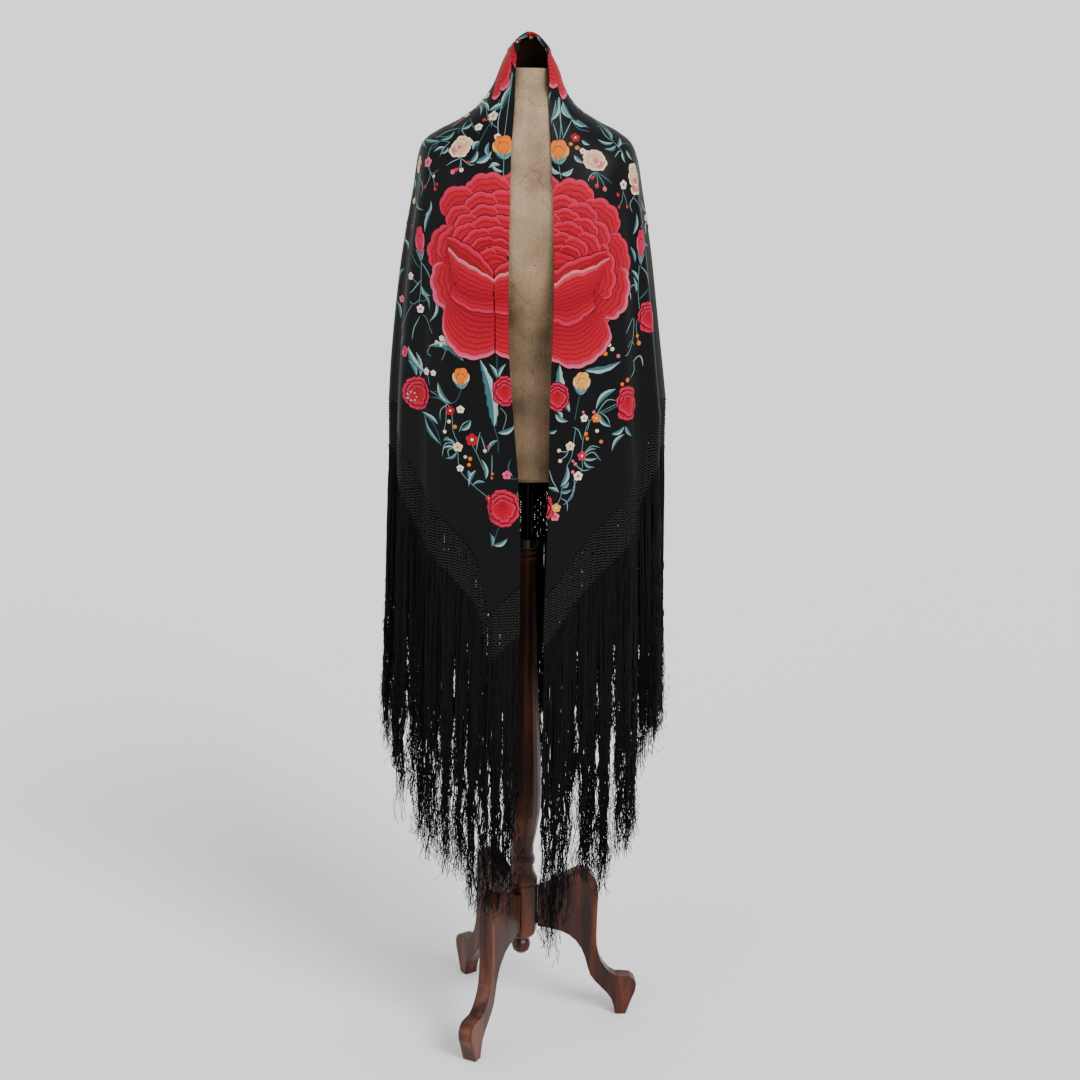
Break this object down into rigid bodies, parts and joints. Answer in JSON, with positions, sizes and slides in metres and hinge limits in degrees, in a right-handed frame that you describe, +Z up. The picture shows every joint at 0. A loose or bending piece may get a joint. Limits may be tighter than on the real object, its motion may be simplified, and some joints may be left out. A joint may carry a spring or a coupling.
{
  "type": "manila shawl on dress form stand",
  "caption": "Square fringed shawl folded corner to corner, hanging from the neck and shoulders of a limbless dress form on a turned wooden tripod stand.",
  "frame": {"origin": "on the floor, under the column's axis", "axes": "+Z up, the front of the form faces -Y, +X to the viewer's right"},
  "size_m": [0.4862, 0.3773, 1.737],
  "materials": {
    "silk_crepe": "soft satin",
    "knotted_net": "matte",
    "fringe_silk": "soft satin",
    "aged_board": "matte aged board",
    "black_enamel": "gloss",
    "ferrule_iron": "worn",
    "mahogany": "satin polish"
  },
  "bodies": {
    "root": {"dress_form": "aged_board", "form_tube": "black_enamel", "ferrule": "ferrule_iron", "column": "mahogany", "hub": "mahogany", "finial": "mahogany", "leg_right": "mahogany", "leg_back": "mahogany", "leg_front": "mahogany", "shawl_collar": "silk_crepe", "shawl_front_left": "silk_crepe", "shawl_front_right": "silk_crepe", "shawl_back": "silk_crepe", "net_front_left": "knotted_net", "net_back_left": "knotted_net", "net_back_right": "knotted_net", "net_front_right": "knotted_net", "fringe_front_left": "fringe_silk", "fringe_back_left": "fringe_silk", "fringe_back_right": "fringe_silk", "fringe_front_right": "fringe_silk"}
  },
  "joints": []
}
